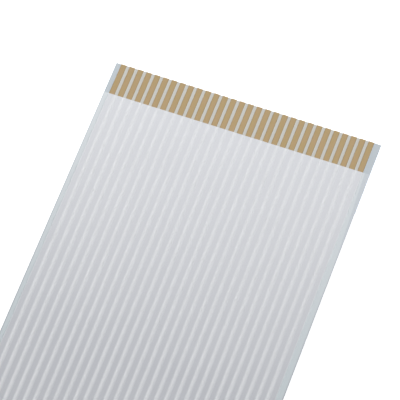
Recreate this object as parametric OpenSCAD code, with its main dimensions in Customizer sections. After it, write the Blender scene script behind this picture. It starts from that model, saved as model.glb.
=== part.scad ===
// Flat flexible cable: a row of flat conductors sealed between two polyester films, with bare
// contacts on top of both ends and a stiffening tape behind each end.
// X runs across the cable and Y along it, and Z is up. The origin is on the surface that the
// cable lies on, at the middle of its length and width. The front end is the one towards +Y.

/* [Conductors] */
// Number of conductors
conductor_count = 30; // [4:1:50]
// Distance from the middle of one conductor to the middle of the next
pitch = 1; // [0.9:0.05:1.3]
// Width of a conductor
conductor_w = 0.65; // [0.5:0.01:0.7]
// Thickness of a conductor
conductor_t = 0.1; // [0.05:0.01:0.12]
// How far the row sits to the left of the middle, from the slitting of the films
row_shift = 0.1; // [0:0.01:0.25]

/* [Films] */
// Length of the cable
cable_length = 100; // [40:1:400]
// Film from the middle of an outermost conductor to the edge, in a row with no shift
side_margin = 1; // [0.9:0.05:2]
// Thickness of a film with its adhesive
film_t = 0.06; // [0.04:0.005:0.08]
// How far each film sinks between two conductors
valley_depth = 0.03; // [0.005:0.005:0.04]
// Width of the slope at each side of the rib over a conductor
slope_w = 0.1; // [0.04:0.01:0.1]

/* [Ends] */
// Length of the bare contacts
contact_length = 4; // [3:0.5:6]
// Thickness of an end, from the back of the tape to the face of the contacts
end_t = 0.3; // [0.28:0.01:0.35]
// Length of the stiffening tape
stiffener_length = 9; // [6:0.5:15]

/* [Hidden] */
// Flat pieces that a slope is drawn with
SLOPE_STEPS = 4;
// Corners of the polygon that a conductor's round edges are drawn with
ROUND_FN = 12;

cable_width = (conductor_count - 1) * pitch + 2 * side_margin;
stiffener_t = end_t - film_t - conductor_t;
// Height of the plane in which the two films are bonded, halfway up the conductors
bond_z = stiffener_t + film_t + conductor_t / 2;
// Heights of a film's outer face above the bond, over a conductor and between two
crest_h = conductor_t / 2 + film_t;
valley_h = crest_h - valley_depth;

CONDUCTORS = [1 : conductor_count];

FILM_WHITE = "#DCDFE4";
TAPE_BLUE = "#B4C3D2";
CONTACT_GOLD = "#C6A672";

// Name of the conductor with number i, counted from the left
function conductor_name(i) = str("conductor_", i < 10 ? "0" : "", i);

// Middle of conductor i across the cable
function conductor_x(i) = (i - (conductor_count + 1) / 2) * pitch - row_shift;

// Height of a film's outer face at step s of the slope that leads down from a rib
function slope_h(s) = crest_h - valley_depth * (1 - cos(180 * s / SLOPE_STEPS)) / 2;

// Outer face of a film from left to right: a flat rib over each conductor, with a smooth slope
// down to the valley at each side of it
function outer_face() = concat(
    [[-cable_width / 2, valley_h]],
    [for (i = CONDUCTORS, side = [-1, 1], k = [0 : SLOPE_STEPS])
        let (s = side < 0 ? SLOPE_STEPS - k : k)
        [conductor_x(i) + side * (conductor_w / 2 + slope_w * s / SLOPE_STEPS), slope_h(s)]],
    [[cable_width / 2, valley_h]]
);

// Section of conductor i, centred on the bond plane: a wire rolled flat, so its edges are round
module conductor_section(i) {
    round_x = (conductor_w - conductor_t) / 2;
    translate([conductor_x(i), 0]) {
        square([2 * round_x, conductor_t], center = true);
        for (side = [-1, 1])
            translate([side * round_x, 0]) circle(d = conductor_t, $fn = ROUND_FN);
    }
}

// Section of a film, with its bonded face on the X axis and its ribs towards +Y. A channel holds
// the half of each conductor that lies in this film.
module film_section() {
    difference() {
        polygon(concat(outer_face(), [[cable_width / 2, 0], [-cable_width / 2, 0]]));
        for (i = CONDUCTORS) conductor_section(i);
    }
}

// Section of a stiffening tape, from its flat back on the X axis up to the ribs of the lower film
module stiffener_section() {
    film_back = [for (p = outer_face()) [p[0], bond_z - p[1]]];
    polygon(concat([[cable_width / 2, 0], [-cable_width / 2, 0]], film_back));
}

// Stands a section upright across the cable and runs it along the cable from y0 to y1
module run_along(y0, y1) {
    translate([0, y1, 0])
        rotate([90, 0, 0])
            linear_extrude(y1 - y0) children();
}

module upper_film() {
    y_end = cable_length / 2 - contact_length;
    color(FILM_WHITE)
        translate([0, 0, bond_z])
            run_along(-y_end, y_end) film_section();
}

module lower_film() {
    color(FILM_WHITE)
        translate([0, 0, bond_z])
            run_along(-cable_length / 2, cable_length / 2)
                mirror([0, 1]) film_section();
}

module front_stiffener() {
    color(TAPE_BLUE)
        run_along(cable_length / 2 - stiffener_length, cable_length / 2) stiffener_section();
}

module rear_stiffener() {
    mirror([0, 1, 0]) front_stiffener();
}

module conductor(i) {
    color(CONTACT_GOLD)
        translate([0, 0, bond_z])
            run_along(-cable_length / 2, cable_length / 2) conductor_section(i);
}

upper_film();
lower_film();
front_stiffener();
rear_stiffener();
for (i = CONDUCTORS)
    conductor(i);
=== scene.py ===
# Finish, light and camera for a flat flexible cable: two milky polyester films laminated over a row
# of flat conductors, with gold-plated contacts and a blue stiffening tape at each end.
import math

import bpy
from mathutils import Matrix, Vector


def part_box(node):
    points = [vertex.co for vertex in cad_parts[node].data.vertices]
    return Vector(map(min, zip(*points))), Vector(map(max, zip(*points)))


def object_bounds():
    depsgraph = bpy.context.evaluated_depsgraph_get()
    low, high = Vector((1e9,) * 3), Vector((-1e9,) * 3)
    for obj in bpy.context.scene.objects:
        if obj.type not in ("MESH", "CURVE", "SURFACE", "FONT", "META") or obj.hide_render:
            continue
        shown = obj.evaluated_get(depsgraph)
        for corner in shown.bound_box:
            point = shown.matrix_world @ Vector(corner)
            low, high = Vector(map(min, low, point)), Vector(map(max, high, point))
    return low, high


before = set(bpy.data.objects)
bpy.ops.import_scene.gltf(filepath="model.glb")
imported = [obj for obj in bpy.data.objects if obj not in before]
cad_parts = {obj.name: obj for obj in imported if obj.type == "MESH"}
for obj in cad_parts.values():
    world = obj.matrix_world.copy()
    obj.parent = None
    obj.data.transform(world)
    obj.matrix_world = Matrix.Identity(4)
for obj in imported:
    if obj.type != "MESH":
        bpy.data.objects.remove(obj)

MM = 0.001
cad_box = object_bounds()
conductors = sorted(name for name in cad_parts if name.startswith("conductor_"))


def middle_x(node):
    """Middle of a CAD node across the cable, in millimetres."""
    low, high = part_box(node)
    return (low.x + high.x) / 2 / MM


# Sizes of the cable, read from the frame, in millimetres
FIRST_X = middle_x(conductors[0])
PITCH = middle_x(conductors[1]) - FIRST_X
CONDUCTOR_HALF = (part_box(conductors[0])[1].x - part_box(conductors[0])[0].x) / 2 / MM
CONTACTS_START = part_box("upper_film")[1].y / MM
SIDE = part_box("upper_film")[1].x / MM
FRONT_END = cad_box[1].y
TOP = cad_box[1].z

# Sockets of a Mix node that is set to colours
COLOUR_A, COLOUR_B, COLOUR_OUT = 6, 7, 2


def colour(text):
    """Linear colour of an sRGB hex colour."""
    parts = [int(text[i : i + 2], 16) / 255 for i in (1, 3, 5)]
    return [c / 12.92 if c <= 0.04045 else ((c + 0.055) / 1.055) ** 2.4 for c in parts] + [1]


def add(tree, kind, inputs=None, **settings):
    """Adds a node with its settings. An input that is given a socket is linked to it."""
    node = tree.nodes.new("ShaderNode" + kind)
    for name, value in settings.items():
        setattr(node, name, value)
    for name, value in (inputs or {}).items():
        if isinstance(value, bpy.types.NodeSocket):
            tree.links.new(value, node.inputs[name])
        else:
            node.inputs[name].default_value = value
    return node


def new_material(name):
    """An empty material, its node tree, and the place on the cable in millimetres."""
    material = bpy.data.materials.new(name)
    material.use_nodes = True
    tree = material.node_tree
    tree.nodes.clear()
    where = add(tree, "TexCoord").outputs["Object"]
    place = add(tree, "VectorMath", {0: where, "Scale": 1 / MM}, operation="SCALE")
    return material, tree, place.outputs[0]


def grain(tree, place, width, length, detail=2.0):
    """Uneven pattern, from 0 to 1, whose marks are width across the cable and length along it."""
    stretch = (1 / width, 1 / length, 1 / width)
    squeezed = add(tree, "VectorMath", {0: place, 1: stretch}, operation="MULTIPLY")
    noise = add(tree, "TexNoise", {"Vector": squeezed.outputs[0], "Scale": 1, "Detail": detail})
    return noise.outputs[0]


def spread(tree, amount, low, high):
    """Turns an amount from 0 to 1 into one from low to high."""
    return add(tree, "MapRange", {0: amount, 3: low, 4: high}).outputs[0]


def over_a_conductor(tree, place):
    """1 over a conductor and 0 beside it. The milky film blurs the conductor's edges, and the
    light that leaks in beside it makes it look narrower."""
    full, none = CONDUCTOR_HALF - 0.15, CONDUCTOR_HALF + 0.1
    across = add(tree, "SeparateXYZ", {0: place}).outputs["X"]
    value = across
    last = len(conductors) - 1
    steps = (
        ("SUBTRACT", FIRST_X),
        ("DIVIDE", PITCH),
        ("ROUND", 0),
        ("MAXIMUM", 0),
        ("MINIMUM", last),
        ("MULTIPLY", PITCH),
        ("ADD", FIRST_X),
        ("SUBTRACT", across),
        ("ABSOLUTE", 0),
    )
    for operation, operand in steps:
        value = add(tree, "Math", {0: value, 1: operand}, operation=operation).outputs[0]
    edge = {0: value, 1: none, 2: full}
    return add(tree, "MapRange", edge, interpolation_type="SMOOTHSTEP").outputs[0]


def from_middle(tree, place, axis):
    """Distance from the middle of the cable, in millimetres, across it (X) or along it (Y)."""
    part = add(tree, "SeparateXYZ", {0: place}).outputs[axis]
    return add(tree, "Math", {0: part}, operation="ABSOLUTE").outputs[0]


def in_contact_zone(tree, place):
    """1 at the two ends, where the upper film is missing, and 0 in the rest."""
    edge = {0: from_middle(tree, place, "Y"), 1: CONTACTS_START - 0.01}
    return add(tree, "Math", edge, operation="GREATER_THAN").outputs[0]


def away_from_contacts(tree, place):
    """0 beside the contacts at either end, rising to 1 in the middle of the cable."""
    rise = 30
    reach = {0: from_middle(tree, place, "Y"), 1: CONTACTS_START, 2: CONTACTS_START - rise}
    return add(tree, "MapRange", reach).outputs[0]


def beside_the_row(tree, place):
    """1 in the margins outside the row of conductors, and 0 in the row."""
    across = add(tree, "SeparateXYZ", {0: place}).outputs["X"]
    last_x = FIRST_X + (len(conductors) - 1) * PITCH
    row_middle = (FIRST_X + last_x) / 2
    value = add(tree, "Math", {0: across, 1: row_middle}, operation="SUBTRACT").outputs[0]
    value = add(tree, "Math", {0: value}, operation="ABSOLUTE").outputs[0]
    row_half = (last_x - FIRST_X) / 2 + CONDUCTOR_HALF
    return add(tree, "Math", {0: value, 1: row_half}, operation="GREATER_THAN").outputs[0]


def shaded_side_border(tree, place):
    """1 on a narrow border along both sides, where shade is painted, and 0 inside it."""
    edge = {0: from_middle(tree, place, "X"), 1: SIDE - 0.18, 2: SIDE - 0.08}
    return add(tree, "MapRange", edge, interpolation_type="SMOOTHSTEP").outputs[0]


def loose_strip(tree, place):
    """1 on the strip along the right side where the films came apart beside the front contacts.
    It is half a millimetre wide at the contacts and runs out to nothing."""
    width, length, blur = 0.55, 14, 0.05
    parts = add(tree, "SeparateXYZ", {0: place}).outputs
    taper = {0: parts["Y"], 1: CONTACTS_START - length, 2: CONTACTS_START, 3: 0, 4: width}
    reach = add(tree, "MapRange", taper).outputs[0]
    inner = add(tree, "Math", {0: SIDE, 1: reach}, operation="SUBTRACT").outputs[0]
    past = add(tree, "Math", {0: parts["X"], 1: inner}, operation="SUBTRACT").outputs[0]
    return add(tree, "MapRange", {0: past, 1: -blur, 2: blur}).outputs[0]


def facing(tree, axis):
    """1 on faces that look along an axis of the cable, either way, and 0 on the others."""
    normal = add(tree, "NewGeometry").outputs["True Normal"]
    part = add(tree, "SeparateXYZ", {0: normal}).outputs[axis]
    size = add(tree, "Math", {0: part}, operation="ABSOLUTE").outputs[0]
    return add(tree, "Math", {0: size, 1: 0.7}, operation="GREATER_THAN").outputs[0]


def blend(tree, amount, first, second):
    """Colour that goes from first to second."""
    inputs = {0: amount, COLOUR_A: first, COLOUR_B: second}
    return add(tree, "Mix", inputs, data_type="RGBA").outputs[COLOUR_OUT]


def finish_material(tree, surface, bumps):
    """Ends a material in a Principled shader, over bumps given as height pattern and depth in mm."""
    normal = None
    for height, depth in bumps:
        inputs = {"Height": height, "Distance": depth * MM}
        if normal:
            inputs["Normal"] = normal
        normal = add(tree, "Bump", inputs).outputs[0]
    shader = add(tree, "BsdfPrincipled", {**surface, "Normal": normal})
    add(tree, "OutputMaterial", {0: shader.outputs[0]})


def calendered_polyester(name, lies_bare):
    """Milky polyester film with hot-melt adhesive, calendered, so it has a satin sheen. The
    conductors show through it as greyer, glossier bands, with whiter lines between them. Towards the
    ends the bands are painted paler: this is a painted sheen, where the lamp lights the conductors.
    The faint green tint of the side margins, with no conductor under them, fades with it. Where the
    film lies bare at an end, the blue tape under it tints it."""
    material, tree, place = new_material(name)
    from_ends = away_from_contacts(tree, place)
    band = over_a_conductor(tree, place)
    # Painted sheen: the band grey and the margin tint are weakened towards both ends, in place of the
    # lamp's sheen on the conductors.
    squared = add(tree, "Math", {0: from_ends, 1: 2}, operation="POWER").outputs[0]
    painted_sheen_fade = spread(tree, squared, 0.6, 1)
    band_under_painted_sheen = add(tree, "Math", {0: band, 1: painted_sheen_fade}, operation="MULTIPLY").outputs[0]
    margin = beside_the_row(tree, place)
    margin_tint_under_painted_sheen = add(tree, "Math", {0: margin, 1: painted_sheen_fade}, operation="MULTIPLY").outputs[0]
    streaks = grain(tree, place, 0.35, 14)
    cloud = grain(tree, place, 6, 9, detail=1)
    film = blend(tree, band_under_painted_sheen, colour("#E8E9EB"), colour("#C1C3C8"))
    film = blend(tree, margin_tint_under_painted_sheen, film, colour("#D0D9DC"))
    film = blend(tree, spread(tree, streaks, 0, 0.10), film, colour("#B9C0C8"))
    film = blend(tree, spread(tree, cloud, 0, 0.06), film, colour("#FFFFFF"))
    # Painted shade: the side borders are darkened, more so away from the ends, in place of the shade
    # along the film's edges.
    painted_shade_border = shaded_side_border(tree, place)
    painted_edge_shade = add(tree, "Math", {0: painted_shade_border, 1: from_ends}, operation="MULTIPLY").outputs[0]
    film = blend(tree, painted_edge_shade, film, colour("#BFC5C9"))
    if lies_bare:
        bare = blend(tree, margin, colour("#CAC9C2"), colour("#C0C8CD"))
        film = blend(tree, in_contact_zone(tree, place), film, bare)
    else:
        film = blend(tree, loose_strip(tree, place), film, colour("#CDD3D8"))
    surface = {
        "Base Color": film,
        "Metallic": spread(tree, band, 0, 0.1),
        "Roughness": spread(tree, band, 0.5, 0.32),
        "IOR": 1.57,
    }
    matt = grain(tree, place, 0.15, 0.15)
    finish_material(tree, surface, [(streaks, 0.004), (matt, 0.002)])
    return material


def stiffening_tape():
    """Pale blue polyester tape with a cast, slightly matt back. It is thick enough to hide what is
    under it."""
    material, tree, place = new_material("blue_polyester_tape")
    mottle = grain(tree, place, 1.2, 1.2)
    streaks = grain(tree, place, 0.25, 6)
    tape = blend(tree, spread(tree, mottle, 0, 0.25), colour("#A9C0DA"), colour("#C6D5E6"))
    surface = {
        "Base Color": tape,
        "Roughness": spread(tree, streaks, 0.42, 0.6),
        "IOR": 1.57,
    }
    finish_material(tree, surface, [(streaks, 0.003), (mottle, 0.006)])
    return material


def plated_conductor():
    """Rolled flat copper wire with a thin satin gold plating: fine rolling lines along it, a faint
    mottle in the gold, and bare copper where the cable was cut."""
    material, tree, place = new_material("gold_plated_copper")
    lines = grain(tree, place, 0.05, 5, detail=3)
    mottle = grain(tree, place, 0.7, 1.1)
    gold = blend(tree, spread(tree, mottle, 0, 1), colour("#A6946A"), colour("#AD9478"))
    gold = blend(tree, spread(tree, lines, 0, 0.25), gold, colour("#8E774F"))
    metal = blend(tree, facing(tree, "Y"), gold, colour("#C58663"))
    surface = {
        "Base Color": metal,
        "Metallic": 1.0,
        "Roughness": spread(tree, lines, 0.25, 0.38),
    }
    finish_material(tree, surface, [(lines, 0.0006)])
    return material


def dress(node, material):
    """Gives a CAD node its finish."""
    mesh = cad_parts[node].data
    mesh.materials.clear()
    mesh.materials.append(material)


def place_camera():
    """Long lens, looking down on the front end from the right of the cable."""
    azimuth, elevation = math.radians(19.85), math.radians(61.51)
    aim = Vector((-0.85 * MM, FRONT_END - 13.25 * MM, TOP))
    back = Vector((
        math.sin(azimuth) * math.cos(elevation),
        -math.cos(azimuth) * math.cos(elevation),
        math.sin(elevation),
    ))
    data = bpy.data.cameras.new("camera")
    data.lens = 298
    camera = bpy.data.objects.new("camera", data)
    camera.location = aim + back * 360 * MM
    camera.rotation_mode = "QUATERNION"
    camera.rotation_quaternion = (-back).to_track_quat("-Z", "Y")
    bpy.context.collection.objects.link(camera)
    bpy.context.scene.camera = camera


def seen_directly(tree):
    """1 for what the camera sees, itself or in a reflection, and 0 for light that falls on things."""
    path = add(tree, "LightPath")
    mirrored = {0: path.outputs["Is Glossy Ray"], 1: path.outputs["Is Transmission Ray"]}
    either = add(tree, "Math", mirrored, operation="MAXIMUM").outputs[0]
    seen = {0: path.outputs["Is Camera Ray"], 1: either}
    return add(tree, "Math", seen, operation="MAXIMUM").outputs[0]


def light_room():
    """Soft light from all round, in front of a white background."""
    world = bpy.data.worlds.new("studio")
    world.use_nodes = True
    tree = world.node_tree
    tree.nodes.clear()
    soft = add(tree, "Background", {"Color": colour("#F4F7FF"), "Strength": 0.17})
    white = add(tree, "Background", {"Color": (1, 1, 1, 1), "Strength": 1.0})
    parts = {0: seen_directly(tree), 1: soft.outputs[0], 2: white.outputs[0]}
    add(tree, "OutputWorld", {0: add(tree, "MixShader", parts).outputs[0]})
    bpy.context.scene.world = world


def hang_lamp(name, size, radiance, place):
    """Square lamp, in millimetres, that looks at the front end and stays out of the picture."""
    data = bpy.data.lights.new(name, "AREA")
    data.size = size * MM
    data.energy = radiance * math.pi * data.size**2
    lamp = bpy.data.objects.new(name, data)
    lamp.location = Vector((0, FRONT_END, TOP)) + Vector(place) * MM
    aim = Vector((0, FRONT_END - 15 * MM, TOP))
    lamp.rotation_mode = "QUATERNION"
    lamp.rotation_quaternion = (aim - lamp.location).to_track_quat("-Z", "Y")
    lamp.visible_camera = False
    bpy.context.collection.objects.link(lamp)
    return lamp


def light_cable():
    """A softbox behind the front end, so near that its light falls off along the cable, and one far
    to the right, that shows the ribs. Both are polarised, so they make no glare. A weak panel puts
    a sheen on the front end."""
    near = hang_lamp("near_softbox", size=140, radiance=3.3, place=(-35, 85, 115))
    side = hang_lamp("side_softbox", size=500, radiance=2.8, place=(600, -60, 400))
    for softbox in (near, side):
        softbox.visible_glossy = False
    sheen = hang_lamp("sheen_panel", size=100, radiance=0.3, place=(-30, 80, 160))
    sheen.visible_diffuse = False


def lay_floor():
    """White table just under the cable. It reads as white, and keeps the cable's shadow."""
    half, drop = 8.0, 0.005 * MM
    z = cad_box[0].z - drop
    mesh = bpy.data.meshes.new("table")
    corners = [(-half, -half, z), (half, -half, z), (half, half, z), (-half, half, z)]
    mesh.from_pydata(corners, [], [(0, 1, 2, 3)])
    material = bpy.data.materials.new("white_laminate")
    material.use_nodes = True
    tree = material.node_tree
    tree.nodes.clear()
    board = add(tree, "BsdfDiffuse", {"Color": colour("#F2F2F2")})
    lift = add(tree, "Math", {0: seen_directly(tree), 1: 0.7}, operation="MULTIPLY").outputs[0]
    glow = add(tree, "Emission", {"Color": (1, 1, 1, 1), "Strength": lift})
    both = add(tree, "AddShader", {0: board.outputs[0], 1: glow.outputs[0]})
    add(tree, "OutputMaterial", {0: both.outputs[0]})
    mesh.materials.append(material)
    table = bpy.data.objects.new("table", mesh)
    bpy.context.collection.objects.link(table)


place_camera()
light_room()
light_cable()
lay_floor()
bpy.context.scene.view_settings.view_transform = "Standard"

gold_plated_copper = plated_conductor()
for name in conductors:
    dress(name, gold_plated_copper)
blue_polyester_tape = stiffening_tape()
for name in ("front_stiffener", "rear_stiffener"):
    dress(name, blue_polyester_tape)
dress("upper_film", calendered_polyester("milky_polyester_film", lies_bare=False))
dress("lower_film", calendered_polyester("milky_polyester_film_over_tape", lies_bare=True))
